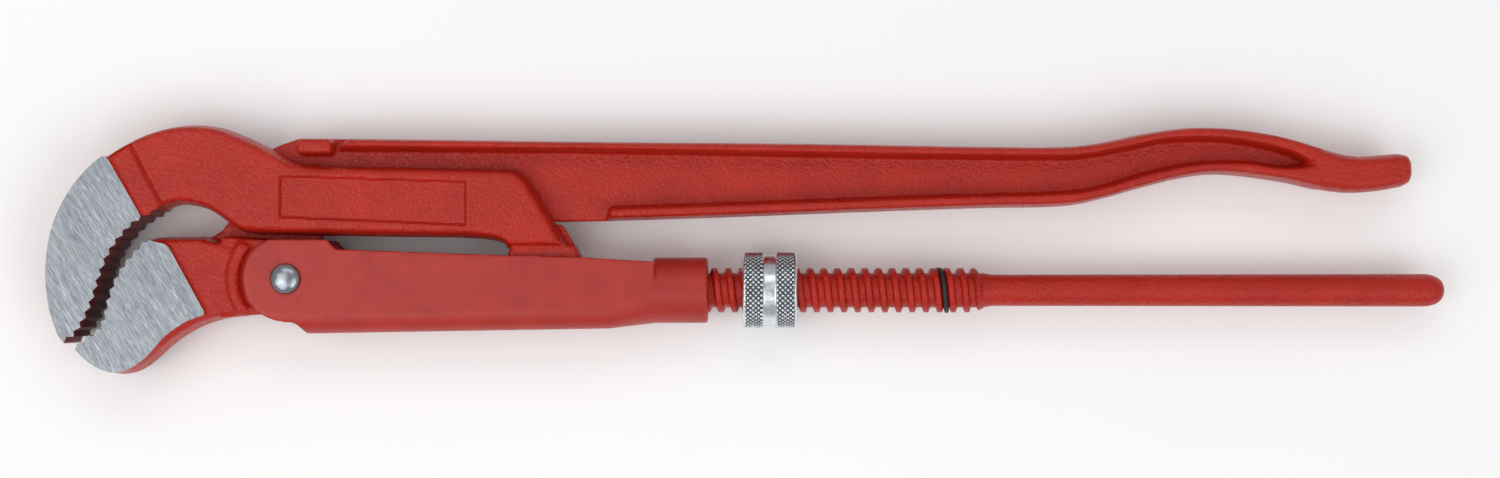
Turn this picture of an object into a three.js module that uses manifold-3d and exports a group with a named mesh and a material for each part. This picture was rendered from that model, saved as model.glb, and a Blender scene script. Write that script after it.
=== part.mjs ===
// Swedish-pattern pipe wrench, 550 mm long, lying flat. Millimetres, +Z up.
// Drawing plane: origin on the rivet axis at mid-thickness, +X to the handle ends, +Y to the I-handle.
import * as THREE from 'three';
import { mergeVertices } from 'three/addons/utils/BufferGeometryUtils.js';
import Module from 'manifold-3d';

const wasm = await Module();
wasm.setup();

// ---- driving dimensions (mm)
const HALF_JAW = 12;            // jaws are ground flat at +-12
const LEG_GAP = 0.3;            // each leg starts this far from the mid-plane where the legs cross
const BODY_HALF = 9.2;          // half thickness of everything that runs between the cheeks
const CHEEK_IN = 9.5;           // inner half width of the housing
const CHEEK_OUT = 12.9;         // outer half width of the housing
const CHEEK_R = 16.8;           // radius of the housing's round end
const RELIEF_R = 18.7;          // the lower leg is cut back to the cheeks inside this radius
const ROD_Y = -4.4;             // height of the rod, thread, nut and collar axis
const ROD_R = 6.2;
const THREAD_R = 8.8;
const THREAD_ROOT = 6.8;
const PITCH = 5.4;
const THREAD_X0 = 124;
const THREAD_X1 = 274.5;
const COLLAR_X0 = 143;
const COLLAR_X1 = 164.8;
const COLLAR_R = 12.95;
const COLLAR_BORE = 9.6;
const NUT_X0 = 178.3;
const NUT_X1 = 200.1;
const NUT_R = 15;
const NUT_CLEAR = 0.3;
const RIVET_R = 4.95;           // running fit in the 10 mm holes
const RIVET_HEAD_R = 5.8;
const RIVET_TOP = 16.4;
const RIVET_HOLE = 5.0;
const ROD_END = 455.9;
const RING_X = 257.9;
const RING_R = 0.95;
const TOOTH = 4.35;             // tooth pitch along the jaw
const TOOTH_DEPTH = 1.4;
const HANDLE_HALF = 9;          // half width of the I-handle's flanges
const WEB_FRONT = -LEG_GAP;     // front face of the I-handle's web
const WEB_BACK = -5.6;

// ---- outline helpers: every outline is a list of [x, y] going round the shape
function smooth(points, step) {
  const curve = new THREE.SplineCurve(points.map(([x, y]) => new THREE.Vector2(x, y)));
  const count = Math.max(2, Math.round(curve.getLength() / step));
  return curve.getSpacedPoints(count).map((p) => [p.x, p.y]);
}

function arc(cx, cy, r, from, to, count) {
  const out = [];
  for (let i = 0; i <= count; i += 1) {
    const a = THREE.MathUtils.degToRad(from + ((to - from) * i) / count);
    out.push([cx + r * Math.cos(a), cy + r * Math.sin(a)]);
  }
  return out;
}

// A saw-toothed edge: tips on the curve, roots TOOTH_DEPTH to its left, nearer the next tip.
function toothed(points, side) {
  const curve = new THREE.SplineCurve(points.map(([x, y]) => new THREE.Vector2(x, y)));
  const count = Math.round(curve.getLength() / TOOTH);
  const tips = curve.getSpacedPoints(count);
  const out = [];
  tips.forEach((tip, i) => {
    out.push([tip.x, tip.y]);
    if (i === count) return;
    const run = tips[i + 1].clone().sub(tip);
    const normal = new THREE.Vector2(-run.y, run.x).normalize().multiplyScalar(side * TOOTH_DEPTH);
    out.push([tip.x + run.x * 0.62 + normal.x, tip.y + run.y * 0.62 + normal.y]);
  });
  return out;
}

// ---- solids
function solid(geometry) {
  const g = geometry.clone();
  g.deleteAttribute('normal');
  g.deleteAttribute('uv');
  const m = mergeVertices(g, 1e-5);
  const mesh = new wasm.Mesh({
    numProp: 3,
    vertProperties: new Float32Array(m.attributes.position.array),
    triVerts: new Uint32Array(m.index.array),
  });
  return new wasm.Manifold(mesh);
}

function slab(outline, z0, z1, bevel = 0) {
  const shape = new THREE.Shape(outline.map(([x, y]) => new THREE.Vector2(x, y)));
  const g = new THREE.ExtrudeGeometry(shape, {
    depth: z1 - z0 - 2 * bevel,
    bevelEnabled: bevel > 0,
    bevelThickness: bevel,
    bevelSize: bevel,
    bevelOffset: -bevel,
    bevelSegments: 1,
    steps: 1,
  });
  g.translate(0, 0, z0 + bevel);
  return solid(g);
}

// A solid of revolution about the rod axis (or any line parallel to X); profile is [x, radius].
function turnedX(profile, y, segments) {
  const points = profile.map(([x, r]) => new THREE.Vector2(r, x));
  const g = new THREE.LatheGeometry(points, segments);
  g.rotateZ(-Math.PI / 2);
  g.translate(0, y, 0);
  return solid(g);
}

function turnedZ(profile, segments) {
  const points = profile.map(([z, r]) => new THREE.Vector2(r, z));
  const g = new THREE.LatheGeometry(points, segments);
  g.rotateX(Math.PI / 2);
  return solid(g);
}

// Skin over a row of closed sections, each a ring of the same number of points, capped or closed on itself.
function skin(rings, loop = false) {
  const n = rings[0].length;
  const positions = rings.flat().flat();
  const index = [];
  const last = loop ? rings.length : rings.length - 1;
  for (let i = 0; i < last; i += 1) {
    const a = i * n;
    const b = ((i + 1) % rings.length) * n;
    for (let k = 0; k < n; k += 1) {
      const k1 = (k + 1) % n;
      index.push(a + k, a + k1, b + k1, a + k, b + k1, b + k);
    }
  }
  if (!loop) {
    const end = (rings.length - 1) * n;
    for (let k = 1; k < n - 1; k += 1) {
      index.push(0, k + 1, k, end, end + k, end + k + 1);
    }
  }
  const g = new THREE.BufferGeometry();
  g.setAttribute('position', new THREE.Float32BufferAttribute(positions, 3));
  g.setIndex(index);
  const m = solid(g);
  if (m.volume() > 0) return m;
  const flipped = new THREE.BufferGeometry();
  flipped.setAttribute('position', new THREE.Float32BufferAttribute(positions, 3));
  const turned = [];
  for (let i = 0; i < index.length; i += 3) turned.push(index[i], index[i + 2], index[i + 1]);
  flipped.setIndex(turned);
  return solid(flipped);
}

// A right-hand ridge wound about the rod axis; its foot sits inside the core so the two join.
function threadRidge(x0, x1, grow, perTurn) {
  const rings = [];
  const turns = (x1 - x0) / PITCH;
  const steps = Math.round(turns * perTurn);
  for (let i = 0; i <= steps; i += 1) {
    const turn = (i / steps) * turns;
    const angle = 2 * Math.PI * (turn + x0 / PITCH);
    const x = x0 + turn * PITCH;
    const fade = Math.min(1, turn / 0.4, (turns - turn) / 1.2);
    const crest = THREAD_ROOT - 0.35 + (THREAD_R - THREAD_ROOT + 0.35) * fade + grow;
    const section = [
      [-1.8 - grow, THREAD_ROOT - 0.6], [-0.95 - grow, crest], [0.95 + grow, crest], [1.8 + grow, THREAD_ROOT - 0.6],
    ];
    rings.push(section.map(([dx, r]) => [x + dx, ROD_Y + r * Math.cos(angle), r * Math.sin(angle)]));
  }
  return skin(rings);
}

function material(name, colour, roughness, metalness) {
  return new THREE.MeshStandardMaterial({ name, color: colour, roughness, metalness });
}

function node(name, manifold, mat) {
  const mesh = manifold.getMesh();
  const g = new THREE.BufferGeometry();
  g.setAttribute('position', new THREE.Float32BufferAttribute(mesh.vertProperties, 3));
  g.setIndex(new THREE.Uint32BufferAttribute(mesh.triVerts, 1));
  g.computeVertexNormals();
  const out = new THREE.Mesh(g, mat);
  out.name = name;
  return out;
}

// ---- upper jaw leg: hook jaw, half-thickness shank, foot in the housing, thread and round handle
function upperJawLeg() {
  const teeth = toothed([
    [-49.6, 27.0], [-55.5, 23.9], [-59.7, 21.3], [-65.4, 15.1], [-69.5, 8.6], [-72.6, 0.4],
    [-75.2, -8], [-78.3, -15.6], [-82.7, -22.4], [-86.6, -24.8],
  ], -1);
  const back = smooth([
    [-89.4, -22.2], [-93.0, -11], [-94.3, 4], [-91.6, 21], [-84.4, 35.5], [-74.3, 46.6],
    [-61, 55.1], [-49.2, 59.5], [-38, 60.9], [-27.1, 59.8], [-15.3, 55.4], [-5, 50.2], [3, 46.2], [12, 44.9],
  ], 4);
  const throat = smooth([[-24.5, 22.6], [-32.7, 28.0], [-38, 29.9], [-44, 30.3]], 3);
  const belly = smooth([[-9, 18.7], [-16.4, 19.0], [-21.5, 20.8], [-24.5, 22.6]], 3);
  const footCurve = smooth([[86.0, 11.8], [84.6, 14.6], [79.8, 17.4], [74, 18.2]], 2.5);
  const front = slab([
    ...teeth, ...back, [84.1, 43.3], [89.6, 42.6], [93.5, 39.6], [110.5, 11.8], ...footCurve,
    ...belly, ...throat.slice(1),
  ], LEG_GAP - 0.001, HALF_JAW);
  const stepLine = [[-23.8, 59.0], [-27, 46], [-33.4, 27]];
  const head = slab([
    ...teeth, ...back.filter(([x]) => x < -24), ...stepLine, ...throat.filter(([x]) => x < -34),
  ], -HALF_JAW, LEG_GAP + 0.2);
  // the foot is full thickness behind the shank, then narrows to run between the cheeks
  const shelf = slab([[88, 8], [110, 8], [113.8, 10.4], [107, 21.4], [88, 21.4]], -HALF_JAW, LEG_GAP + 0.2, 0.8)
    .intersect(slab([[80, 11.8], [120, 11.8], [120, 30], [80, 30]], -HALF_JAW, HALF_JAW));
  const foot = slab([
    [88, 13.4], [86.4, 10], [86.4, -11.5], [89, -14.2], [112, -14.2], [118, -11.0], [118, 2.2], [113, 10.6],
    [110.4, 13.4],
  ], -BODY_HALF, BODY_HALF, 1.2);
  const panel = slab([[-2.7, 24.7], [-2.5, 39.9], [69.9, 37.7], [69.9, 21.6]], HALF_JAW - 0.8, HALF_JAW + 1);
  const rod = turnedX([
    [112, 0], [112, THREAD_ROOT], [THREAD_X1 - 1, THREAD_ROOT], [THREAD_X1 + 3, ROD_R],
    [360, ROD_R], [ROD_END - 7, ROD_R + 0.1], [ROD_END - 3, ROD_R - 1.1], [ROD_END - 0.8, ROD_R - 3.2],
    [ROD_END, 0],
  ], ROD_Y, 32);
  const ridge = threadRidge(THREAD_X0, THREAD_X1, 0, 20);
  return front.add(head).add(shelf).add(foot).subtract(panel).add(rod).add(ridge);
}

// ---- lower jaw leg: lower jaw, pivot body between the cheeks, rear web and I-section handle
function lowerJawLeg() {
  const teeth = toothed([
    [-82.3, -27.5], [-79.4, -24.9], [-75.9, -22.8], [-72.2, -20.3], [-70.0, -14.6], [-69.1, -10], [-66.6, -2],
    [-62.3, 5.4], [-57.1, 11.5], [-54, 14.3],
  ], 1);
  const top = [[-50, 16.2], [-19, 16.2]];
  const chin = smooth([
    [-10.5, -14.6], [-20, -14.7], [-30, -16.8], [-38, -20.2], [-46.5, -25.9], [-53.5, -32.3], [-60, -36.5],
    [-67, -37.6], [-73.4, -35.8], [-79, -32],
  ], 4);
  const relief = turnedZ([[-20, 0], [-20, RELIEF_R], [20, RELIEF_R], [20, 0]], 64);
  const jaw = slab([...teeth, ...top, ...arc(0, 0, RELIEF_R - 0.1, 140, 222, 12), ...chin.slice(2)],
    -HALF_JAW, HALF_JAW).subtract(relief);
  const sunkStrip = [[-44.0, 20], [-29.4, -20]];
  const sunk = slab([...sunkStrip, ...arc(0, 0, 23.8, 234, 138, 20)], HALF_JAW - 0.8, HALF_JAW + 2);
  const sunkBack = sunk.translate([0, 0, -2 * HALF_JAW - 1.2]);
  const body = slab([
    [-26, 16.2], [-27.5, 0], [-26, -15.7], ...smooth([[-18, -14.4], [-8, -13.8], [3, -13.0], [10, -7.6], [11.4, 0]], 3),
    [11.4, 13], [9, 16.2],
  ], -BODY_HALF, BODY_HALF);
  const handleTop = smooth([
    [2.7, 55.6], [60, 55.0], [122, 54.3], [200, 53.6], [272.5, 52.4], [304.2, 52.3], [320, 53.9], [335.9, 57.3],
    [351.7, 59.7], [363.5, 60], [375.5, 59], [391.3, 56.3], [407.2, 51.6], [415.1, 49.3], [423, 48.5], [437, 49.6],
  ], 8);
  const handleEnd = [[440.8, 48.6], [443.6, 45.2], [443.9, 42], [442.6, 39], [438.9, 36.9]];
  const handleLow = smooth([
    [430.9, 35], [419, 34], [407.2, 35.3], [391.3, 38.8], [367.5, 41.6], [351.7, 40], [335.9, 36.1], [320, 31.7],
    [304.2, 28.9], [272.5, 28.2], [225, 26.6], [161.6, 24.2], [106.2, 22.7], [60, 22.7],
  ], 8);
  const webLeft = smooth([
    [20, 22.7], [15, 20.4], [12.4, 16.8],
  ], 3);
  const shoulder = smooth([[-31, 16.4], [-26.5, 21], [-22, 30], [-14.5, 44], [-8, 51.6], [2.7, 55.6]], 4);
  const leg = slab([...shoulder, ...handleTop.slice(1), ...handleEnd, ...handleLow, ...webLeft, [-10, 16.4]],
    -HALF_JAW, HANDLE_HALF).subtract(relief);
  // the neck joins the thick body to the web through the relief circle
  const neck = slab([
    [-20, 12], [-30, 12], [-29, 18.6], ...arc(0, 0, 21, 138, 65, 10), [11.4, 17], [11.4, 12],
  ], -BODY_HALF, WEB_FRONT, 0);
  // nothing in front of the mid-plane where the upper leg crosses, except the flange and the stop lug
  const crossing = slab([
    [-60, 16.4], [-60, 70], [2.4, 70], [2.4, 56], [3.4, 48.8], [17.2, 48.8], [19.2, 51.8], [117, 51.0],
    [250, 48.8], [300, 48.4], [306, 48.2], [318, 49.6], [334, 52.8], [346, 55.2], [362, 55.6], [376, 54.4],
    [390, 51.4], [400, 47.2], [402, 44.6], [390, 43.2], [376, 45.4], [358, 45], [338, 41.2], [322, 36.4],
    [304, 33.4], [250, 31.8], [160, 28.6], [122, 27.6], [118, 24], [117, 20], [60, 18], [17, 16.4],
  ], WEB_FRONT, HALF_JAW + 2);
  const rearPocket = slab([
    [112, 27.6], [122, 50.6], [250, 48.8], [300, 48.4], [318, 49.6], [334, 52.8], [346, 55.2], [362, 55.6],
    [376, 54.4], [390, 51.4], [400, 47.2], [402, 44.6], [390, 43.2], [376, 45.4], [358, 45], [338, 41.2],
    [322, 36.4], [304, 33.4], [250, 31.8], [160, 28.6],
  ], -HALF_JAW - 2, WEB_BACK);
  const rearShave = slab([[96, 0], [104, 70], [460, 70], [460, 0]], -HALF_JAW - 2, -HANDLE_HALF);
  const bore = turnedZ([[-20, 0], [-20, RIVET_HOLE], [20, RIVET_HOLE], [20, 0]], 40);
  return jaw.subtract(sunk).subtract(sunkBack).add(body).add(leg.subtract(crossing)).add(neck)
    .subtract(rearShave).subtract(rearPocket).subtract(bore);
}

// ---- housing: folded sheet channel that closes into a collar
function channelRing(x, half, bottom, radius, top) {
  const r = Math.min(radius, half - 0.05);
  const ring = [[x, top, -half]];
  for (let i = 0; i <= 6; i += 1) {
    const a = Math.PI + (Math.PI / 2) * (i / 6);
    ring.push([x, bottom + r + r * Math.sin(a), -half + r + r * Math.cos(a)]);
  }
  for (let i = 0; i <= 6; i += 1) {
    const a = 1.5 * Math.PI + (Math.PI / 2) * (i / 6);
    ring.push([x, bottom + r + r * Math.sin(a), half - r + r * Math.cos(a)]);
  }
  ring.push([x, top, half]);
  return ring;
}

function housing() {
  const outer = skin([
    channelRing(-18, CHEEK_OUT, -21.9, 8, 20),
    channelRing(126, CHEEK_OUT, -19.5, 8, 20),
    channelRing(COLLAR_X0 + 1, CHEEK_OUT, ROD_Y - COLLAR_R, COLLAR_R, 20),
  ]);
  const inner = skin([
    channelRing(-30, CHEEK_IN, -18.6, 4.7, 30),
    channelRing(126, CHEEK_IN, -16.1, 4.7, 30),
    channelRing(COLLAR_X0, CHEEK_IN, ROD_Y - COLLAR_BORE, COLLAR_BORE, 30),
  ]);
  const cheek = slab([
    ...arc(0, 0, CHEEK_R, 113, 262, 28), [0, -17.0],
    ...smooth([[2, -17.0], [4.6, -18.4], [8, -22.5]], 1.5), [150, -22.5], [150, 6.4],
    [115, 8.5], [83.8, 9.3], [19.6, 11.6], ...arc(15, 13, 2.4, 20, 90, 4),
  ], -CHEEK_OUT - 1, CHEEK_OUT + 1);
  const sides = outer.intersect(cheek).subtract(inner);
  const tube = turnedX([
    [COLLAR_X0, 0], [COLLAR_X0, COLLAR_R - 0.9], [COLLAR_X0 + 0.9, COLLAR_R], [COLLAR_X1 - 0.6, COLLAR_R],
    [COLLAR_X1, COLLAR_R - 0.6], [COLLAR_X1, 0],
  ], ROD_Y, 48);
  const bore = turnedX([[138, 0], [138, COLLAR_BORE], [170, COLLAR_BORE], [170, 0]], ROD_Y, 48);
  const hole = turnedZ([[-20, 0], [-20, RIVET_HOLE], [20, RIVET_HOLE], [20, 0]], 40);
  return sides.add(tube).subtract(bore).subtract(hole);
}

// ---- rivet with a dome on both sides
function pivotRivet() {
  const seat = CHEEK_OUT + 0.3;
  const dome = [[seat, RIVET_R], [seat, RIVET_HEAD_R]];
  for (let i = 1; i <= 8; i += 1) {
    const a = (Math.PI / 2) * (i / 8);
    dome.push([seat + (RIVET_TOP - seat) * Math.sin(a), i === 8 ? 0 : RIVET_HEAD_R * Math.cos(a)]);
  }
  const lower = dome.map(([z, r]) => [-z, r]).reverse();
  return turnedZ([...lower, ...dome], 40);
}

// ---- adjusting nut: two knurled bands either side of a smooth groove, threaded inside
function adjustingNut() {
  const mid = (NUT_X0 + NUT_X1) / 2;
  const blank = turnedX([
    [NUT_X0, 0], [NUT_X0, NUT_R - 2.2], [NUT_X0 + 1.8, NUT_R - 0.5], [NUT_X0 + 2.6, NUT_R], [mid - 2.6, NUT_R],
    [mid - 2.2, NUT_R - 0.7], [mid + 2.2, NUT_R - 0.7], [mid + 2.6, NUT_R], [NUT_X1 - 2.6, NUT_R],
    [NUT_X1 - 1.8, NUT_R - 0.5], [NUT_X1, NUT_R - 2.2], [NUT_X1, 0],
  ], ROD_Y, 48);
  const core = turnedX([
    [NUT_X0 - 5, 0], [NUT_X0 - 5, THREAD_ROOT + NUT_CLEAR], [NUT_X1 + 5, THREAD_ROOT + NUT_CLEAR], [NUT_X1 + 5, 0],
  ], ROD_Y, 40);
  const first = Math.floor((NUT_X0 - 8) / PITCH) * PITCH;
  const ridge = threadRidge(first, first + 8 * PITCH, NUT_CLEAR, 40);
  return blank.subtract(core.add(ridge));
}

// ---- rubber ring lying in the thread; on the back it climbs over one crest to meet itself
function stopRing() {
  const rings = [];
  const steps = 48;
  const start = Math.round(RING_X / PITCH - 0.5) * PITCH + PITCH / 2;
  for (let i = 0; i < steps; i += 1) {
    const t = (i / steps) * 2 * Math.PI;
    const cross = THREE.MathUtils.smoothstep(i / steps, 0.62, 0.88);
    const lift = THREE.MathUtils.smoothstep(i / steps, 0.52, 0.62) * (1 - THREE.MathUtils.smoothstep(i / steps, 0.88, 0.98));
    const x = start + PITCH * (i / steps) - PITCH * cross;
    const r = THREAD_ROOT + 0.3 + RING_R + lift * (THREAD_R - THREAD_ROOT);
    const ring = [];
    for (let k = 0; k < 8; k += 1) {
      const a = (k / 8) * 2 * Math.PI;
      const rr = r + RING_R * Math.cos(a);
      ring.push([x + RING_R * Math.sin(a), ROD_Y + rr * Math.cos(t), rr * Math.sin(t)]);
    }
    rings.push(ring);
  }
  return skin(rings, true);
}

const forged = material('forged_paint', '#b03028', 0.45, 0.0);
const sheet = material('housing_paint', '#b2332c', 0.5, 0.0);
const steel = material('rivet_steel', '#b9bcc0', 0.3, 1.0);
const plated = material('nut_plating', '#c3c7cb', 0.3, 1.0);
const rubber = material('ring_rubber', '#1b1b1b', 0.7, 0.0);

const wrench = new THREE.Group();
wrench.add(
  node('upper_jaw_leg', upperJawLeg(), forged),
  node('lower_jaw_leg', lowerJawLeg(), forged.clone()),
  node('housing', housing(), sheet),
  node('pivot_rivet', pivotRivet(), steel),
  node('adjusting_nut', adjustingNut(), plated),
  node('stop_ring', stopRing(), rubber),
);

// lay the wrench on the floor with the middle of its footprint at the origin
const box = new THREE.Box3().setFromObject(wrench);
const centre = box.getCenter(new THREE.Vector3());
wrench.children.forEach((mesh) => mesh.geometry.translate(-centre.x, -centre.y, -box.min.z));

export default wrench;
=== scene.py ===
# Looks for the pipe wrench: forged legs, sheet housing, rivet, knurled nut and rubber ring.
# Shapes are drawn in millimetres round the rivet, +X to the handle ends and +Y to the I-handle, with
# z = 0 at mid-thickness. put() moves them into the frame's metres.
import math

import bmesh
import bpy
import numpy as np
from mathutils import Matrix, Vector


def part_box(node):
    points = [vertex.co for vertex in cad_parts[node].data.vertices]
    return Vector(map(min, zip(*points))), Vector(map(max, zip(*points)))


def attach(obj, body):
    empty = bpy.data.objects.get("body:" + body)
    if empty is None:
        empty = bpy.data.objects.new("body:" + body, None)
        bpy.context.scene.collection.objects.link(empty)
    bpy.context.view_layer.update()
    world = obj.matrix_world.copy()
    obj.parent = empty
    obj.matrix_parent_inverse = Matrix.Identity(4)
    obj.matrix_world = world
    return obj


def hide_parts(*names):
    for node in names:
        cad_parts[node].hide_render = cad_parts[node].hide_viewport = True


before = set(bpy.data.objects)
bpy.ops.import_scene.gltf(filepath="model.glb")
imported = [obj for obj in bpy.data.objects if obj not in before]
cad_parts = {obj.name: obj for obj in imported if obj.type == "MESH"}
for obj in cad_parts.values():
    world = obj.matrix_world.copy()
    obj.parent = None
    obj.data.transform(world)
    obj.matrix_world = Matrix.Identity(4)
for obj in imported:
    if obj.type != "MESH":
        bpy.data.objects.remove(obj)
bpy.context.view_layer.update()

MM = 0.001
rivet_low, rivet_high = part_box("pivot_rivet")
PIVOT = (np.array(rivet_low) + np.array(rivet_high)) / 2


def drawn_box(node):
    """A node's lowest and highest corners, in drawing millimetres."""
    low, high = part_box(node)
    return (np.array(low) - PIVOT) / MM, (np.array(high) - PIVOT) / MM


# sizes that the frame gives
leg_high = drawn_box("upper_jaw_leg")[1]
nut_low, nut_high = drawn_box("adjusting_nut")
ring_low, ring_high = drawn_box("stop_ring")
HALF_JAW = float(leg_high[2])
ROD_END = float(leg_high[0])
ROD_Y = float(nut_low[1] + nut_high[1]) / 2
NUT_X0 = float(nut_low[0])
NUT_X1 = float(nut_high[0])
NUT_R = float(nut_high[2])
RING_X = float(ring_low[0] + ring_high[0]) / 2
FLOOR_Z = float(rivet_low[2] - PIVOT[2]) / MM

# sizes that several shapes share
LEG_GAP = 0.3           # how far each leg's crossing web stays from mid-thickness
BODY_HALF = 9.2         # half-thickness of what runs between the housing's cheeks
RELIEF_R = 18.7         # round relief in the lower leg, which the cheeks' round ends turn in
HOLE_R = 5.0            # rivet hole in the pivot body
CUTTER_HALF = 14.0      # half-length of a cutter that goes right through a jaw
PITCH = 5.4             # of the adjusting thread
THREAD_R = 8.8
THREAD_ROOT = 6.8
THREAD_END = 274.5
ROD_R = 6.2             # plain round handle
RING_R = 0.95           # half-thickness of the rubber ring
TOOTH = 4.35
TOOTH_DEPTH = 1.4
TOOTH_STOCK = 2.4       # how far the jaw blanks reach past their teeth before the teeth are cut


# ---- outlines
def smooth(points, step):
    """Evenly spaced points on a curve through the given ones."""
    p = np.array(points, float)
    ghost = np.vstack([2 * p[0] - p[1], p, 2 * p[-1] - p[-2]])
    fine = []
    for i in range(1, len(ghost) - 2):
        a, b, c, d = ghost[i - 1:i + 3]
        for t in np.linspace(0, 1, 24, endpoint=False):
            fine.append(0.5 * ((2 * b) + (c - a) * t + (2 * a - 5 * b + 4 * c - d) * t ** 2
                               + (3 * b - a - 3 * c + d) * t ** 3))
    fine.append(p[-1])
    return resample(fine, step)


def resample(points, step):
    """The same line, in equal steps of about the given length."""
    p = np.array(points, float)
    run = np.concatenate([[0], np.cumsum(np.linalg.norm(np.diff(p, axis=0), axis=1))])
    count = max(2, int(round(run[-1] / step)))
    at = np.linspace(0, run[-1], count + 1)
    return [[float(np.interp(s, run, p[:, 0])), float(np.interp(s, run, p[:, 1]))] for s in at]


def arc(r, start, end, count):
    """Points on an arc round the rivet, from one angle to the other in degrees."""
    angles = np.radians(np.linspace(start, end, count + 1))
    return [[r * math.cos(a), r * math.sin(a)] for a in angles]


def within(line, low=-math.inf, high=math.inf):
    """The points of a line with X from low up to high."""
    return [p for p in line if low <= p[0] < high]


def area(points):
    """Area inside an outline, positive when it runs anticlockwise."""
    p = np.array(points)
    q = np.roll(p, -1, axis=0)
    return 0.5 * float(np.sum(p[:, 0] * q[:, 1] - q[:, 0] * p[:, 1]))


def inset(points, d):
    """The outline moved inwards by d, mitred at its corners."""
    p = np.array(points, float)
    turn = 1.0 if area(points) > 0 else -1.0
    e1 = p - np.roll(p, 1, axis=0)
    e2 = np.roll(p, -1, axis=0) - p
    n1 = np.stack([-e1[:, 1], e1[:, 0]], 1) / np.linalg.norm(e1, axis=1)[:, None]
    n2 = np.stack([-e2[:, 1], e2[:, 0]], 1) / np.linalg.norm(e2, axis=1)[:, None]
    spread = np.maximum(1 + np.sum(n1 * n2, axis=1), 0.35)[:, None]
    return (p + turn * d * (n1 + n2) / spread).tolist()


def offset_line(points, d):
    """An open line moved to its left by d."""
    p = np.array(points, float)
    e = np.gradient(p, axis=0)
    n = np.stack([-e[:, 1], e[:, 0]], 1) / np.linalg.norm(e, axis=1)[:, None]
    return (p + d * n).tolist()


def toothed(points, side):
    """A saw-toothed edge with its tips on the curve."""
    tips = smooth(points, TOOTH)
    out = []
    for a, b in zip(tips, tips[1:]):
        run = np.array(b) - np.array(a)
        left = np.array([-run[1], run[0]]) / np.linalg.norm(run)
        out.append(a)
        out.append((np.array(a) + 0.62 * run + side * TOOTH_DEPTH * left).tolist())
    out.append(tips[-1])
    return out


# ---- meshes, as (verts, faces) in drawing millimetres
def skin(rings, ends="capped", flip=False):
    """A skin over rings of equal point counts, its ends capped or looped back to each other."""
    n = len(rings[0])
    count = len(rings)
    verts = [p for ring in rings for p in ring]
    faces = []
    for i in range(count if ends == "looped" else count - 1):
        j = (i + 1) % count
        for k in range(n):
            k1 = (k + 1) % n
            faces.append((i * n + k, i * n + k1, j * n + k1, j * n + k))
    if ends == "capped":
        faces.append(tuple(reversed(range(n))))
        faces.append(tuple(range((count - 1) * n, count * n)))
    if flip:
        faces = [(face[0], *reversed(face[1:])) for face in faces]
    return verts, faces


def loft(levels):
    """A closed solid through outlines with equal point counts: [(z, outline), ...]."""
    rings = [[(x, y, z) for x, y in outline] for z, outline in levels]
    return skin(rings, flip=area(levels[0][1]) < 0)


def forged(outline, levels):
    """A blank with forging draft: [(z, how far the outline is drawn in), ...]."""
    return loft([(z, inset(outline, d)) for z, d in levels])


def cutter(outline):
    """A straight-sided block, long enough to go right through a jaw."""
    return loft([(-CUTTER_HALF, outline), (CUTTER_HALF, outline)])


def turned(rows, segments, ends="capped"):
    """A skin round the rod's axis, from rows of (x, radius or radius as a function of angle)."""
    angles = np.linspace(0, 2 * np.pi, segments, endpoint=False)
    rings = []
    for x, radius in rows:
        r = radius(angles) if callable(radius) else np.full(segments, radius)
        rings.append([(x, ROD_Y + ri * math.cos(a), ri * math.sin(a)) for ri, a in zip(r, angles)])
    return skin(rings, ends, flip=True)


# ---- objects
def put(name, shape):
    """One object from (verts, faces) in drawing millimetres."""
    verts, faces = shape
    mesh = bpy.data.meshes.new(name)
    mesh.from_pydata((np.array(verts, float) * MM + PIVOT).tolist(), [], faces)
    mesh.update()
    obj = bpy.data.objects.new(name, mesh)
    bpy.context.collection.objects.link(obj)
    return obj


def join(base, others):
    """Puts the meshes of the other objects into the first one."""
    bm = bmesh.new()
    for obj in [base, *others]:
        bm.from_mesh(obj.data)
    bm.to_mesh(base.data)
    bm.free()
    for obj in others:
        bpy.data.objects.remove(obj)
    return base


def bake_modifiers(obj):
    """Makes the modified mesh the object's own."""
    bpy.context.view_layer.update()
    deps = bpy.context.evaluated_depsgraph_get()
    mesh = bpy.data.meshes.new_from_object(obj.evaluated_get(deps))
    old = obj.data
    obj.modifiers.clear()
    obj.data = mesh
    bpy.data.meshes.remove(old)


def cut(obj, shape):
    """Takes a shape away from the object."""
    tool = put("cutter", shape)
    mod = obj.modifiers.new("cut", "BOOLEAN")
    mod.operation = "DIFFERENCE"
    mod.solver = "EXACT"
    mod.object = tool
    bake_modifiers(obj)
    bpy.data.objects.remove(tool)


def melt(obj, voxel, rounds):
    """Joins overlapping blanks into one skin and rounds it as a forging is rounded."""
    mod = obj.modifiers.new("remesh", "REMESH")
    mod.mode = "VOXEL"
    mod.voxel_size = voxel * MM
    mod = obj.modifiers.new("smooth", "SMOOTH")
    mod.factor = 0.5
    mod.iterations = rounds
    bake_modifiers(obj)


def grind(obj):
    """Cuts both sides of a jaw flat, leaving its ground faces."""
    bm = bmesh.new()
    bm.from_mesh(obj.data)
    for side in (1, -1):
        plane = Vector(PIVOT) + Vector((0, 0, side * HALF_JAW * MM))
        geom = bm.verts[:] + bm.edges[:] + bm.faces[:]
        done = bmesh.ops.bisect_plane(
            bm, geom=geom, plane_co=plane, plane_no=(0, 0, side), clear_outer=True)
        edges = [e for e in done["geom_cut"] if isinstance(e, bmesh.types.BMEdge)]
        bmesh.ops.holes_fill(bm, edges=edges, sides=0)
    bm.to_mesh(obj.data)
    bm.free()


def faces_of(obj):
    """Face centres in drawing millimetres and face normals."""
    mesh = obj.data
    count = len(mesh.polygons)
    centre = np.empty(count * 3)
    normal = np.empty(count * 3)
    mesh.polygons.foreach_get("center", centre)
    mesh.polygons.foreach_get("normal", normal)
    return (centre.reshape(-1, 3) - PIVOT) / MM, normal.reshape(-1, 3)


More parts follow.
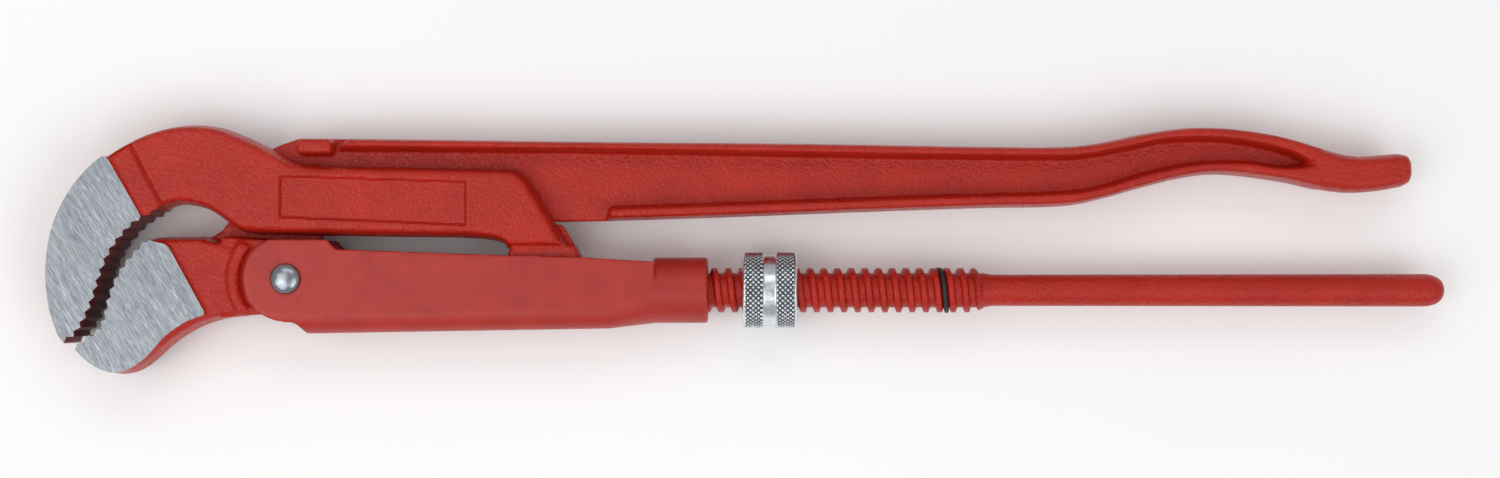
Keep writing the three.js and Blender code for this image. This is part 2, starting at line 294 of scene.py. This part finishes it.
def off_line(points, line):
    """How far each point is from a polyline, in the drawing plane."""
    p = points[:, :2]
    best = np.full(len(p), 1e9)
    for a, b in zip(np.array(line[:-1]), np.array(line[1:])):
        run = b - a
        t = np.clip(((p - a) @ run) / (run @ run), 0, 1)
        best = np.minimum(best, np.linalg.norm(p - (a + t[:, None] * run), axis=1))
    return best


def depth_inside(points, outline):
    """How far each point lies inside an outline, negative outside, in the drawing plane."""
    ring = [*outline, outline[0]]
    x, y = points[:, 0], points[:, 1]
    inside = np.zeros(len(points), bool)
    for (ax, ay), (bx, by) in zip(ring[:-1], ring[1:]):
        if ay == by:
            continue
        crosses = (ay > y) != (by > y)
        inside ^= crosses & (x < ax + (y - ay) / (by - ay) * (bx - ax))
    gap = off_line(points, ring)
    return np.where(inside, gap, -gap)


def soft_step(t):
    """Rises smoothly from 0 to 1 as t does."""
    t = np.clip(t, 0, 1)
    return t * t * (3 - 2 * t)


def reshape(obj, change):
    """Passes the vertices through change(), in drawing millimetres."""
    mesh = obj.data
    flat = np.empty(len(mesh.vertices) * 3)
    mesh.vertices.foreach_get("co", flat)
    points = (flat.reshape(-1, 3) - PIVOT) / MM
    change(points)
    mesh.vertices.foreach_set("co", (points * MM + PIVOT).ravel())
    mesh.update()


def press(obj, outline, depth, wall, side=1, above=8.0):
    """Sinks one face inside an outline, with a sloping wall round it."""
    def change(points):
        hit = side * points[:, 2] > above
        drop = depth * soft_step(depth_inside(points[hit], outline) / wall + 0.5)
        points[hit, 2] -= side * drop
    reshape(obj, change)


def score(obj, line, depth, half_width, side, above):
    """Presses a groove along a line into one face."""
    def change(points):
        hit = side * points[:, 2] > above
        drop = depth * soft_step(1 - off_line(points[hit], line) / half_width)
        points[hit, 2] -= side * drop
    reshape(obj, change)


def finish_surface(obj, angle=32):
    """Smooth shading that breaks at edges sharper than the angle in degrees."""
    obj.data.shade_smooth()
    obj.data.set_sharp_from_angle(angle=math.radians(angle))


# ---- node materials
def material(name, colour, roughness, metallic=0.0, specular=0.5):
    mat = bpy.data.materials.new(name)
    mat.use_nodes = True
    tree = mat.node_tree
    shader = tree.nodes["Principled BSDF"]
    shader.inputs["Base Color"].default_value = (*colour, 1)
    shader.inputs["Roughness"].default_value = roughness
    shader.inputs["Metallic"].default_value = metallic
    shader.inputs["Specular IOR Level"].default_value = specular
    return mat, tree, shader


def position(tree, scale=(1, 1, 1), turn=0.0):
    """Object position, turned about Z by degrees and then stretched."""
    coords = tree.nodes.new("ShaderNodeTexCoord")
    turned_by = tree.nodes.new("ShaderNodeMapping")
    turned_by.inputs["Rotation"].default_value = (0, 0, math.radians(turn))
    stretched = tree.nodes.new("ShaderNodeMapping")
    stretched.inputs["Scale"].default_value = scale
    tree.links.new(coords.outputs["Object"], turned_by.inputs["Vector"])
    tree.links.new(turned_by.outputs["Vector"], stretched.inputs["Vector"])
    return stretched.outputs["Vector"]


def noise(tree, vector, scale, detail=3.0, rough=0.55):
    node = tree.nodes.new("ShaderNodeTexNoise")
    node.inputs["Scale"].default_value = scale
    node.inputs["Detail"].default_value = detail
    node.inputs["Roughness"].default_value = rough
    tree.links.new(vector, node.inputs["Vector"])
    return node.outputs["Fac"]


def ramp(tree, value, stops):
    """Colours from a value: [(value, colour), ...], blended between the stops."""
    node = tree.nodes.new("ShaderNodeValToRGB")
    elements = node.color_ramp.elements
    while len(elements) < len(stops):
        elements.new(0.5)
    for element, (at, colour) in zip(elements, stops):
        element.position = at
        element.color = (*colour, 1)
    tree.links.new(value, node.inputs["Fac"])
    return node.outputs["Color"]


def bump(tree, shader, heights):
    """Bumps from a list of (height, strength, distance in millimetres), one on top of the other."""
    normal = None
    for height, strength, distance in heights:
        node = tree.nodes.new("ShaderNodeBump")
        node.inputs["Strength"].default_value = strength
        node.inputs["Distance"].default_value = distance * MM
        tree.links.new(height, node.inputs["Height"])
        if normal is not None:
            tree.links.new(normal, node.inputs["Normal"])
        normal = node.outputs["Normal"]
    tree.links.new(normal, shader.inputs["Normal"])


def grey(v):
    return (v, v, v)


def forged_paint():
    """Glossy red enamel over the forging's uneven skin."""
    mat, tree, shader = material("forged_red_enamel", (0.40, 0.02, 0.014), 0.34, specular=0.30)
    at = position(tree)
    mottle = noise(tree, at, 60, 5, 0.6)
    tone = ramp(tree, mottle, [(0.3, (0.36, 0.011, 0.004)), (0.7, (0.46, 0.016, 0.007))])
    tree.links.new(tone, shader.inputs["Base Color"])
    gloss = ramp(tree, noise(tree, at, 300, 3), [(0.3, grey(0.26)), (0.7, grey(0.42))])
    tree.links.new(gloss, shader.inputs["Roughness"])
    coarse = noise(tree, at, 200, 2)
    fine = noise(tree, at, 800, 2, 0.5)
    bump(tree, shader, [(coarse, 0.4, 0.4), (fine, 1.0, 0.55)])
    return mat


def housing_paint():
    """Duller red coat on the smooth sheet."""
    mat, tree, shader = material("housing_powder_coat", (0.42, 0.035, 0.028), 0.45, specular=0.45)
    at = position(tree)
    mottle = noise(tree, at, 90, 4)
    tone = ramp(tree, mottle, [(0.3, (0.34, 0.014, 0.007)), (0.7, (0.42, 0.019, 0.011))])
    tree.links.new(tone, shader.inputs["Base Color"])
    gloss = ramp(tree, noise(tree, at, 500, 3), [(0.3, grey(0.36)), (0.7, grey(0.50))])
    tree.links.new(gloss, shader.inputs["Roughness"])
    bump(tree, shader, [(noise(tree, at, 1500, 3, 0.6), 0.8, 0.14)])
    return mat


def paint_gullet_shade():
    """Darker red down between the teeth: painted shade in the tooth gullets."""
    mat, tree, shader = material("tooth_gullet_painted_shade", (0.09, 0.008, 0.006), 0.5)
    at = position(tree)
    mottle = noise(tree, at, 260, 4)
    tone = ramp(tree, mottle, [(0.35, (0.13, 0.008, 0.006)), (0.75, (0.26, 0.014, 0.010))])
    tree.links.new(tone, shader.inputs["Base Color"])
    bump(tree, shader, [(noise(tree, at, 700, 3), 0.5, 0.12)])
    return mat


def ground_steel():
    """Bare steel with slanting grinding strokes."""
    mat, tree, shader = material("ground_jaw_steel", (0.52, 0.55, 0.58), 0.4, metallic=0.7)
    strokes = noise(tree, position(tree, (6000, 240, 6000), -33), 1, 4, 0.7)
    bands = noise(tree, position(tree, (420, 40, 420), -30), 1, 2)
    tone = ramp(tree, strokes, [
        (0.34, (0.12, 0.135, 0.15)), (0.5, (0.235, 0.255, 0.275)), (0.66, (0.44, 0.475, 0.51))])
    tree.links.new(tone, shader.inputs["Base Color"])
    gloss = ramp(tree, bands, [(0.3, grey(0.34)), (0.7, grey(0.52))])
    tree.links.new(gloss, shader.inputs["Roughness"])
    bump(tree, shader, [(strokes, 0.4, 0.03)])
    return mat


def bright_steel(name, colour, roughness):
    """Polished or plated metal with faint stains."""
    mat, tree, shader = material(name, colour, roughness, metallic=1.0)
    at = position(tree)
    stained = tuple(0.82 * c for c in colour)
    tone = ramp(tree, noise(tree, at, 350, 4), [(0.3, stained), (0.7, colour)])
    tree.links.new(tone, shader.inputs["Base Color"])
    shine = noise(tree, at, 500, 4)
    gloss = ramp(tree, shine, [(0.3, grey(roughness * 0.7)), (0.75, grey(roughness * 1.5))])
    tree.links.new(gloss, shader.inputs["Roughness"])
    return mat


def black_rubber():
    mat, tree, shader = material("ring_black_rubber", (0.012, 0.012, 0.013), 0.55)
    at = position(tree)
    gloss = ramp(tree, noise(tree, at, 800, 3), [(0.3, grey(0.45)), (0.7, grey(0.68))])
    tree.links.new(gloss, shader.inputs["Roughness"])
    bump(tree, shader, [(noise(tree, at, 1200, 2), 0.2, 0.04)])
    return mat


RED = forged_paint()
SHEET = housing_paint()
# darker copy of the red for the tooth gullets: painted shade between the teeth
GULLET_SHADE = paint_gullet_shade()
STEEL = ground_steel()
RIVET = bright_steel("rivet_bright_steel", (0.33, 0.36, 0.39), 0.24)
ZINC = bright_steel("nut_bright_zinc", (0.80, 0.84, 0.88), 0.27)
# dark copy of the plating for the knurl's grooves: painted shade
KNURL_SHADE = bright_steel("nut_knurl_painted_shade", (0.10, 0.11, 0.12), 0.45)
RUBBER = black_rubber()


def colour_jaw(obj, teeth):
    """Red enamel all over, bare steel on the ground faces and darker red down in the teeth as painted
    shade.
    """
    centre, normal = faces_of(obj)
    obj.data.materials.clear()
    for mat in (RED, STEEL, GULLET_SHADE):
        obj.data.materials.append(mat)
    on_side = np.abs(np.abs(centre[:, 2]) - HALF_JAW) < 0.02
    ground = on_side & (np.abs(normal[:, 2]) > 0.99)
    # the walls down in the teeth get the painted shade
    shaded_gullet = (off_line(centre, teeth) < 0.35) & (np.abs(normal[:, 2]) < 0.6)
    index = np.where(ground, 1, np.where(shaded_gullet, 2, 0)).astype(np.int32)
    obj.data.polygons.foreach_set("material_index", index)
    finish_surface(obj)
    obj.data.polygons.foreach_set("use_smooth", ~ground)


# ---- upper jaw leg
UPPER_TEETH = [
    [-49.6, 27.0], [-55.5, 23.9], [-59.7, 21.3], [-65.4, 15.1], [-69.5, 8.6],
    [-72.6, 0.4], [-75.2, -8.0], [-78.3, -15.6], [-82.7, -22.4], [-86.6, -24.8],
]
UPPER_BACK = [
    [-89.4, -22.2], [-93.0, -11], [-94.3, 4], [-91.6, 21], [-84.4, 35.5], [-74.3, 46.6], [-61, 55.1],
    [-49.2, 59.5], [-38, 60.9], [-27.1, 59.8], [-15.3, 55.4], [-5, 50.2], [3, 46.2], [12, 44.9],
]


def shank_blank(back, throat):
    """The arched shank, which is half as thick as the jaw and lies on the front side."""
    belly = smooth([[-6, 17.3], [-15, 17.8], [-20.4, 19.3], [-23.5, 21.6]], 3)
    foot_curve = smooth([[86.0, 11.8], [84.6, 13.8], [80.6, 15.2], [72, 16.1]], 2.5)
    outline = [
        *within(back, low=-62), [84.1, 43.6], [90.0, 42.9], [94.2, 39.6], [111.0, 11.8],
        *foot_curve, [12, 17.0], *belly, *throat[1:-1],
    ]
    levels = [(LEG_GAP, 0), (8.4, 1.1), (10.5, 1.9), (11.5, 3.2)]
    return put("upper_jaw_forging", forged(outline, levels))


def head_blanks(back, throat):
    """The hook jaw at full thickness, and the thicker pad whose sides are ground flat."""
    stock = offset_line(smooth(UPPER_TEETH, 3), TOOTH_STOCK)
    step = [[-23.8, 59.0], [-27, 46], [-33.4, 27.9]]
    head = [*within(back, high=-24), *step, *within(throat, high=-34), *stock[1:]]
    pad = [
        *within(offset_line(back, -0.2), high=-72), [-70.4, 47.8], [-56.9, 24.6],
        *within(stock, high=-57),
    ]
    return [
        put("head", forged(head, [(-11.6, 2.8), (-10.2, 1.4), (0, 0.35), (10.2, 1.4), (11.6, 2.8)])),
        put("pad", forged(pad, [(-13.2, 0.15), (-11.0, 0), (11.0, 0), (13.2, 0.15)])),
    ]


def foot_blanks():
    """The shelf behind the shank's end, and the foot that runs between the housing's cheeks."""
    shelf = [[88, 11.8], [113.4, 11.8], [107.4, 21.6], [88, 21.6]]
    foot = [
        [88, 13.4], [86.4, 10], [86.4, -11.5], [89, -14.2], [112, -14.2], [118, -11.0], [118, 2.8],
        [112.4, 13.4],
    ]
    chamfer = 1.2
    flat = BODY_HALF - chamfer
    return [
        put("shelf", forged(shelf, [(-11.6, 2.2), (-10.2, 1.0), (1.0, 0)])),
        put("foot", forged(foot, [(-BODY_HALF, chamfer), (-flat, 0), (flat, 0), (BODY_HALF, chamfer)])),
    ]


def upper_recesses(leg):
    """The blank panel in the shank, and on both sides the shallow strip beside the ground face."""
    press(leg, [[-2.6, 24.2], [-2.4, 40.2], [70.0, 38.0], [70.0, 21.1]], 1.5, 1.3)
    for side in (1, -1):
        press(leg, [[-70.9, 51.4], [-62.3, 55.6], [-48.9, 29.0], [-56.0, 23.6]], 0.7, 0.9, side, 10.6)
        score(leg, [[-63.2, 56.0], [-49.6, 30.0]], 0.9, 1.2, side, 9.0)


def upper_forging():
    back = smooth(UPPER_BACK, 3)
    throat = smooth([[-23.5, 21.6], [-31.5, 27.0], [-38, 28.9], [-44, 29.2], [-48.5, 27.4]], 3)
    leg = join(shank_blank(back, throat), [*head_blanks(back, throat), *foot_blanks()])
    melt(leg, 0.5, 8)
    upper_recesses(leg)
    grind(leg)
    teeth = toothed(UPPER_TEETH, -1)
    cut(leg, cutter([*teeth, [-90, -32], [-60, -40], [-44, 10], [-46.4, 24.0]]))
    colour_jaw(leg, teeth)
    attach(leg, "upper_leg")
    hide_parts("upper_jaw_leg")


def threaded_leg():
    """The round end of the upper leg: rolled thread, run-out and plain grip."""
    start = 121.0
    crest_half = 0.85
    flank = 0.85
    run_out = 4.5
    grip_start = 280
    nose_length = 8.4
    grip_r = ROD_R + 0.25

    def wall(x):
        def radius(angle):
            turn = (x / PITCH - angle / (2 * np.pi)) % 1.0
            away = np.minimum(turn, 1 - turn) * PITCH
            crest = soft_step(1 - (away - crest_half) / flank)
            fade = np.clip((THREAD_END - x) / run_out, 0, 1)
            core = THREAD_ROOT + (ROD_R - THREAD_ROOT) * np.clip((x - THREAD_END + 1) / 4, 0, 1)
            return core + (THREAD_R - THREAD_ROOT) * crest * fade
        return radius

    rows = [(start - 3, THREAD_ROOT)]
    rows += [(x, wall(x)) for x in np.arange(start, THREAD_END + 4, 0.36)]
    for x in np.linspace(grip_start, ROD_END - 9, 40):
        rows.append((x, ROD_R + (grip_r - ROD_R) * (x - grip_start) / 160))
    for t in np.linspace(0.08, 1, 12):
        a = t * math.pi / 2
        x = ROD_END - nose_length * (1 - math.sin(a))
        rows.append((x, grip_r * math.cos(a) ** 0.75 + 0.02))
    obj = put("threaded_leg", turned(rows, 96))
    obj.data.materials.append(RED)
    finish_surface(obj, 60)
    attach(obj, "upper_leg")
    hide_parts("upper_jaw_leg")


# ---- lower jaw leg
LOWER_TEETH = [
    [-82.3, -27.5], [-79.4, -24.9], [-75.9, -22.8], [-72.2, -20.3], [-70.0, -14.6],
    [-69.1, -10], [-66.6, -2], [-62.3, 5.4], [-57.1, 11.5], [-54, 14.3],
]
HANDLE_TOP = [
    [2.7, 55.8], [60, 55.1], [122, 54.3], [200, 53.6], [272.5, 52.4], [304.2, 52.3], [320, 53.9],
    [335.9, 57.3], [351.7, 59.6], [363.5, 59.9], [375.5, 59], [391.3, 56.3], [407.2, 51.6],
    [415.1, 49.3], [423, 48.5], [437, 49.6],
]
HANDLE_LOW = [
    [60, 22.7], [106.2, 22.7], [161.6, 24.2], [225, 26.6], [272.5, 28.2], [304.2, 28.9], [320, 31.7],
    [335.9, 36.1], [351.7, 40], [367.5, 41.6], [391.3, 38.8], [407.2, 35.3], [419, 34], [430.9, 35],
]
POCKET_END = [401.5, 44.8]


def lower_jaw_blanks():
    """The jaw, the thicker pad whose sides are ground flat, and the ridge round the relief."""
    stock = offset_line(smooth(LOWER_TEETH, 3), TOOTH_STOCK)
    chin = smooth([
        [-10.5, -14.6], [-20, -14.7], [-30, -16.8], [-38, -20.2], [-46.5, -25.9], [-53.5, -32.3],
        [-60, -36.5], [-67, -37.6], [-73.4, -35.8], [-79, -32], [-82.6, -28.4],
    ], 3)
    pad_chin = smooth([
        [-31.8, -14.2], [-38, -16.4], [-43, -19.4], [-47.7, -23.0], [-53.5, -29.6], [-58.6, -33.9],
        [-66.2, -36.9], [-73.6, -35.2], [-79.0, -31.4], [-82.4, -27.9],
    ], 3)
    jaw = [*stock[1:], [-50.5, 16.6], [-34, 16.9], *arc(RELIEF_R, 141, 221, 16), *chin[3:]]
    pad = [
        *within(stock, high=-50), [-50.4, 14.4], [-47.4, 13.9], [-45.7, 12.6], [-31.4, -13.4],
        *pad_chin,
    ]
    ridge = [*arc(18.5, 136, 220, 20), *reversed(arc(24.2, 141, 218, 20))]
    return [
        put("lower_jaw_forging", forged(jaw, [
            (-10.2, 2.4), (-9.0, 1.3), (0, 0), (9.0, 1.3), (10.2, 2.4)])),
        put("pad", forged(pad, [(-13.2, 0.3), (-10.0, 0), (10.0, 0), (13.2, 0.3)])),
        put("ridge", forged(ridge, [
            (-11.7, 1.7), (-10.8, 0.6), (-9, 0), (9, 0), (10.8, 0.6), (11.7, 1.7)])),
    ]


def pivot_body_blank():
    """The body between the housing's cheeks, which the rivet goes through."""
    underside = smooth([[-18, -14.4], [-8, -13.8], [3, -13.0], [10, -7.6], [11.4, 0]], 3)
    outline = [
        [-26, 16.4], [-27.5, 0], [-26, -15.4], *underside,
        [11.4, 10.4], [9.6, 13.4], [3, 14.5], [-12, 15.5],
    ]
    levels = [(-BODY_HALF, 0.4), (-8.6, 0), (8.6, 0), (BODY_HALF, 0.4)]
    return put("body", forged(outline, levels))


def rear_web_blanks(top, low):
    """The half-thickness web behind the upper leg, and the neck that joins it to the pivot body."""
    shoulder = smooth([
        [-33, 16.2], [-28, 19.2], [-24.6, 24], [-21, 31], [-14.5, 44], [-8.5, 51.4], [2.7, 55.8],
    ], 3)
    web_left = smooth([[55, 22.7], [20, 22.7], [15.4, 20.6], [12.4, 16.9]], 3)
    web = [
        *shoulder, *within(top[1:], high=112), [113, 22.8], *reversed(within(low, high=112)),
        *web_left, [-10, 16.4],
    ]
    neck = [[-20, 12], [-30, 12], [-29, 18.6], *arc(21, 138, 65, 10), [11.4, 17], [11.4, 12]]
    rear = put("rear", forged(web, [(-11.7, 3.0), (-9.9, 1.3), (-LEG_GAP, 0)]))
    cut(rear, cutter(arc(RELIEF_R, 0, 345, 46)))
    return [rear, put("neck", loft([(-BODY_HALF, neck), (-LEG_GAP, neck)]))]


def flange_blanks(top, low):
    """The I-handle's four flanges. The front ones leave room for the upper leg."""
    under_top = smooth([
        [18.8, 50.9], [117, 50.0], [250, 47.8], [300, 47.4], [306, 47.2], [318, 48.6], [334, 51.8],
        [346, 54.2], [362, 54.6], [376, 53.4], [390, 50.4], [398, 47.4], POCKET_END,
    ], 5)
    over_low = smooth([
        [106, 27.9], [160, 29.6], [250, 32.8], [304, 34.4], [322, 37.4], [338, 42.2], [358, 46],
        [376, 46.4], [390, 44.4], POCKET_END,
    ], 5)
    front = [(-2.0, 0), (0, 0), (7.4, 0.7), (8.9, 1.6)]
    back = [(-8.9, 1.6), (-7.4, 0.7), (-5.2, 0), (-1.0, 0)]
    blanks = []
    for outer, inner, start, levels in (
            (top, under_top, 18.8, front), (low, over_low, 122.0, front),
            (top, under_top, 106.0, back), (low, over_low, 106.0, back)):
        outline = [*within(outer, start, 409), *reversed(within(inner, start))]
        blanks.append(put("flange", forged(outline, levels)))
    return blanks


def handle_blanks(top, low):
    """Web, flanges, stop lug and solid end of the I-section handle."""
    web = [*within(top, 100, 404), *reversed(within(low, 100, 404))]
    lug = [
        [4.2, 49.0], [3.0, 50.4], [3.0, 53.4], [5.2, 55.4], [16.2, 55.2], [17.6, 53.8],
        [17.6, 50.4], [16.4, 49.0],
    ]
    end = [
        [393, 49.6], [401.5, 45.6], [393, 44.2], *within(low, low=393), [438.6, 36.4],
        [441.6, 38.0], [442.6, 41], [442.4, 46.2], [440.8, 48.9], *reversed(within(top, low=393)),
    ]
    end_levels = [(0, 0), (3, 0.2), (5.6, 0.7), (7.8, 1.7), (8.8, 3.0)]
    mirrored = [(-z, d) for z, d in reversed(end_levels[1:])]
    return [
        put("web", loft([(-5.6, web), (-LEG_GAP, web)])),
        *flange_blanks(top, low),
        put("lug", forged(lug, [(-1, 0), (8.2, 0.3), (9.3, 1.3)])),
        put("end", forged(end, [*mirrored, *end_levels])),
    ]


def lower_forging():
    top = smooth(HANDLE_TOP, 5)
    low = smooth(HANDLE_LOW, 5)
    jaw, *others = lower_jaw_blanks()
    others += [pivot_body_blank(), *rear_web_blanks(top, low), *handle_blanks(top, low)]
    leg = join(jaw, others)
    melt(leg, 0.6, 8)
    # shallow recess in the back of the crossing web
    press(leg, [[-8, 26.4], [2, 45.6], [92, 44.4], [92, 27.6]], 0.9, 1.3, -1, 9.0)
    grind(leg)
    teeth = toothed(LOWER_TEETH, 1)
    cut(leg, cutter([*teeth, [-52.6, 18.5], [-56, 26], [-70, 20], [-90, -10], [-92, -30], [-84.6, -29.6]]))
    cut(leg, cutter(arc(HOLE_R, 0, 351, 39)))
    colour_jaw(leg, teeth)
    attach(leg, "lower_leg")
    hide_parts("lower_jaw_leg")


# ---- pressed housing, from the CAD sheet with its edges eased
def soft_housing():
    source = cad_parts["housing"]
    obj = bpy.data.objects.new("pressed_housing", source.data.copy())
    bpy.context.collection.objects.link(obj)
    melt(obj, 0.56, 4)
    obj.data.materials.clear()
    obj.data.materials.append(SHEET)
    finish_surface(obj, 50)
    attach(obj, "bracket")
    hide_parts("housing")


# ---- rivet
def domed_rivet():
    """A shank with a domed head on each side, and a small bevel under each dome."""
    seat = 13.15
    rim = 13.35
    head_r = 5.95
    dome = 3.03
    profile = [(seat, 4.95), (seat, 5.6), (rim, head_r)]
    for t in np.linspace(0.06, 1, 16):
        a = t * math.pi / 2
        profile.append((rim + dome * math.sin(a) ** 0.92, max(head_r * math.cos(a), 0.03)))
    rows = [(-z, r) for z, r in reversed(profile)] + profile
    angles = np.linspace(0, 2 * np.pi, 72, endpoint=False)
    rings = [[(r * math.cos(a), r * math.sin(a), z) for a in angles] for z, r in rows]
    obj = put("domed_rivet", skin(rings))
    obj.data.materials.append(RIVET)
    finish_surface(obj, 50)
    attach(obj, "bracket")
    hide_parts("pivot_rivet")


# ---- knurled nut
NUT_MID = (NUT_X0 + NUT_X1) / 2
WAIST_HALF = 2.7        # half-width of the plain groove between the two knurled bands
DIAMONDS = 44           # knurl diamonds round each band


def nut_wall(x):
    """The nut's radius at x, as a function of angle: rounded rims, plain waist, diamond knurl."""
    rounding = 2.3
    waist_depth = 0.75
    knurl_depth = 0.6
    diamond_length = 2.1
    edge = min(x - NUT_X0, NUT_X1 - x)
    off_mid = abs(x - NUT_MID)
    radius = NUT_R
    if edge < rounding:
        radius -= 2.2 * (1 - math.sqrt(max(0.0, 1 - (1 - edge / rounding) ** 2)))
    if off_mid < WAIST_HALF:
        radius -= waist_depth * min(1.0, (WAIST_HALF - off_mid) / 0.45)
    fade_in = min(1.0, max(0.0, (edge - 0.9) / 0.5)) * min(1.0, max(0.0, (off_mid - WAIST_HALF) / 0.3))

    def at(angle):
        u = angle * DIAMONDS / (2 * np.pi)
        v = x / diamond_length
        a = np.abs((u + v) % 1.0 - 0.5) * 2
        b = np.abs((u - v) % 1.0 - 0.5) * 2
        depth = np.clip(1.4 * np.maximum(a, b) - 0.4, 0, 1)
        return radius - knurl_depth * fade_in * depth
    return at


def colour_nut(obj):
    """Bright plating, darker down in the knurl's grooves as painted shade."""
    for mat in (ZINC, KNURL_SHADE):
        obj.data.materials.append(mat)
    centre, _ = faces_of(obj)
    x = centre[:, 0]
    reach = np.hypot(centre[:, 1] - ROD_Y, centre[:, 2])
    in_band = (x > NUT_X0 + 1.4) & (x < NUT_X1 - 1.2) & (np.abs(x - NUT_MID) > WAIST_HALF)
    # faces down in the knurl's grooves get the painted shade
    groove = in_band & (reach < NUT_R - 0.33) & (reach > NUT_R - 1.2)
    obj.data.polygons.foreach_set("material_index", groove.astype(np.int32))


def knurled_nut():
    bore = THREAD_R - 1.2
    mouth = THREAD_R + 0.6
    rows = [(NUT_X0, bore), (NUT_X0, mouth)]
    rows += [(float(x), nut_wall(float(x))) for x in np.arange(NUT_X0, NUT_X1 + 0.01, 0.2)]
    rows += [(NUT_X1, mouth), (NUT_X1, bore)]
    rows += [(float(x), bore) for x in np.linspace(NUT_X1 - 1, NUT_X0 + 1, 12)]
    obj = put("knurled_nut", turned(rows, DIAMONDS * 8, ends="looped"))
    colour_nut(obj)
    finish_surface(obj, 28)
    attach(obj, "nut")
    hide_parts("adjusting_nut")


# ---- rubber ring in the thread
def rubber_ring():
    """A ring that lies one turn along the thread's groove and climbs back over a crest."""
    steps, sides = 144, 18
    start = round(RING_X / PITCH - 0.5) * PITCH + PITCH / 2
    rings = []
    for i in range(steps):
        t = i / steps
        lift = soft_step((t - 0.52) / 0.10) * (1 - soft_step((t - 0.88) / 0.10))
        x = start + PITCH * t - PITCH * soft_step((t - 0.62) / 0.26)
        r = THREAD_ROOT + 0.3 + RING_R + lift * (THREAD_R - THREAD_ROOT)
        turn = 2 * math.pi * t
        ring = []
        for k in range(sides):
            a = 2 * math.pi * k / sides
            reach = r + RING_R * math.cos(a)
            along = x + RING_R * math.sin(a)
            ring.append((along, ROD_Y + reach * math.cos(turn), reach * math.sin(turn)))
        rings.append(ring)
    obj = put("rubber_ring", skin(rings, ends="looped"))
    obj.data.materials.append(RUBBER)
    finish_surface(obj, 60)
    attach(obj, "upper_leg")
    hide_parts("stop_ring")


# ---- camera, floor and light
def camera():
    """Straight over the wrench's middle, looking down."""
    data = bpy.data.cameras.new("camera")
    data.sensor_width = 36.0
    data.lens = 57.6
    data.shift_y = 0.0407
    obj = bpy.data.objects.new("camera", data)
    bpy.context.collection.objects.link(obj)
    obj.location = Vector(PIVOT) + Vector((181.45, -8.28, 950.0)) * MM
    bpy.context.scene.camera = obj


def floor():
    x0, x1, half_y = -1800, 2200, 1800
    corners = [(x0, -half_y), (x1, -half_y), (x1, half_y), (x0, half_y)]
    obj = put("floor", ([(x, y, FLOOR_Z) for x, y in corners], [(0, 1, 2, 3)]))
    mat, tree, shader = material("pale_floor", (0.93, 0.93, 0.93), 0.9)
    tone = ramp(tree, noise(tree, position(tree), 3, 2), [(0.3, grey(0.92)), (0.7, grey(0.94))])
    tree.links.new(tone, shader.inputs["Base Color"])
    obj.data.materials.append(mat)


def softbox(name, place, aim, size, power):
    data = bpy.data.lights.new(name, "AREA")
    data.shape = "RECTANGLE"
    data.size, data.size_y = size
    data.energy = power
    obj = bpy.data.objects.new(name, data)
    bpy.context.collection.objects.link(obj)
    obj.location = place
    obj.rotation_euler = (Vector(aim) - Vector(place)).to_track_quat("-Z", "Y").to_euler()


def lights():
    """Even white surroundings and four softboxes, placed in metres."""
    world = bpy.data.worlds.new("world")
    bpy.context.scene.world = world
    world.use_nodes = True
    surroundings = world.node_tree.nodes["Background"]
    surroundings.inputs["Color"].default_value = (1.0, 1.0, 1.0, 1)
    surroundings.inputs["Strength"].default_value = 0.45
    softbox("left_box", (-0.7, -0.6, 1.25), (-0.05, 0, 0), (1.2, 1.0), 6.2)
    softbox("right_box", (0.8, -0.6, 1.25), (0.1, 0, 0), (1.2, 1.0), 7)
    softbox("back_box", (0.05, 0.95, 1.25), (0.05, 0, 0), (1.4, 0.5), 3)
    softbox("overhead_left", (-0.62, 0.0, 1.25), (-0.3, 0, 0), (1.0, 0.9), 3.4)
    bpy.context.scene.view_settings.view_transform = "Standard"


camera()
floor()
lights()
upper_forging()
threaded_leg()
lower_forging()
soft_housing()
domed_rivet()
knurled_nut()
rubber_ring()
